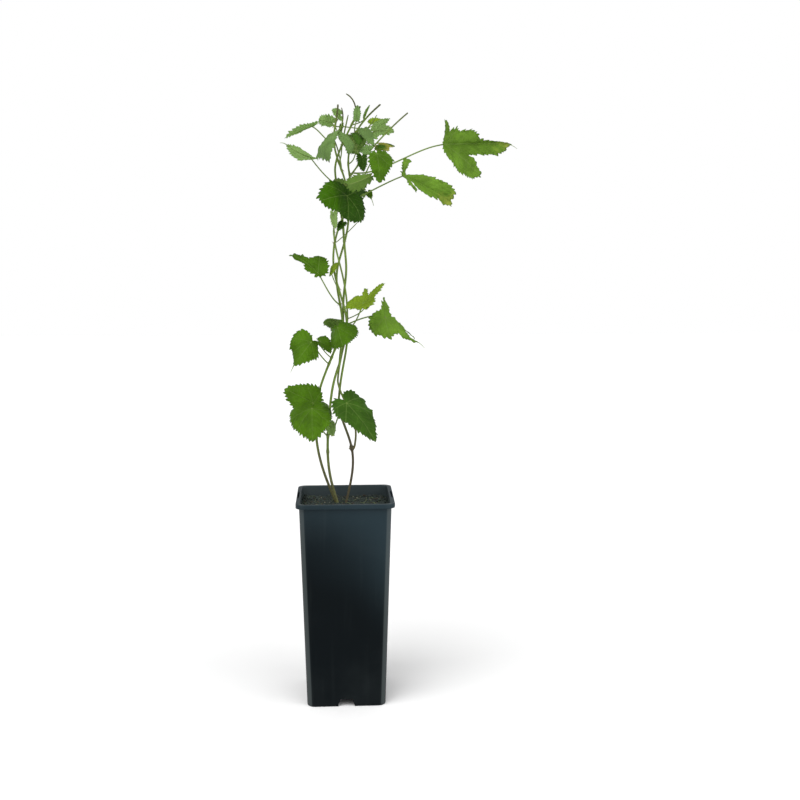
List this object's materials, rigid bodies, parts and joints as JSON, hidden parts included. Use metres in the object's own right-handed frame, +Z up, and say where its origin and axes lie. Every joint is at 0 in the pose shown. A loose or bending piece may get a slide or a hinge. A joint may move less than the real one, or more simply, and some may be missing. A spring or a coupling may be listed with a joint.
{
  "type": "hop bine in a pot",
  "caption": "Young climbing hop with thin twining stems, long-stalked heart-shaped and lobed leaves and cut stubs, in a tall square nursery pot filled with soil.",
  "frame": {"origin": "middle of the pot's flat underside", "axes": "+Z up, the way the stems climb; +X towards the long-stalked leaves on the right; -Y towards the front"},
  "size_m": [0.2674, 0.1521, 0.6816],
  "materials": {
    "pot": "satin moulded polypropylene",
    "soil": "damp fibrous potting soil",
    "bine": "green stem, browned at the base and at cut ends",
    "leaf": "thin matt leaf"
  },
  "bodies": {
    "root": {"pot": "pot", "soil": "soil", "bine_left": "bine", "bine_front": "bine", "bine_right": "bine", "bine_branch": "bine", "twig_hook": "bine", "twig_left": "bine", "twig_middle": "bine", "twig_right": "bine", "twig_tendril": "bine", "leaf_low_left": "leaf", "leaf_low_left_back": "leaf", "leaf_low_right": "leaf", "leaf_low_young": "leaf", "leaf_low_behind": "leaf", "leaf_heart": "leaf", "leaf_heart_side": "leaf", "leaf_mid_centre": "leaf", "leaf_mid_centre_left": "leaf", "leaf_mid_behind": "leaf", "leaf_mid_yellow": "leaf", "leaf_mid_yellow_small": "leaf", "leaf_mid_right": "leaf", "leaf_mid_left": "leaf", "leaf_mid_left_bud": "leaf", "leaf_centre_big": "leaf", "leaf_centre_folded": "leaf", "leaf_centre_shoot": "leaf", "leaf_centre_low": "leaf", "leaf_centre_low_small": "leaf", "leaf_centre_behind": "leaf", "leaf_right_far": "leaf", "leaf_right_low": "leaf", "leaf_left_narrow": "leaf", "leaf_left_low": "leaf", "leaf_left_pale": "leaf", "leaf_left_small": "leaf", "leaf_left_hanging": "leaf", "leaf_left_droop": "leaf", "leaf_centre_droop": "leaf", "leaf_top_back": "leaf", "leaf_top_dark": "leaf", "leaf_top_pale": "leaf", "leaf_top_yellow": "leaf", "leaf_top_brown": "leaf", "leaf_right_dark": "leaf", "leaf_top_low": "leaf", "leaf_top_small": "leaf", "leaf_top_behind": "leaf", "leaf_tip_young": "leaf", "leaf_tip_side": "leaf"}
  },
  "joints": []
}
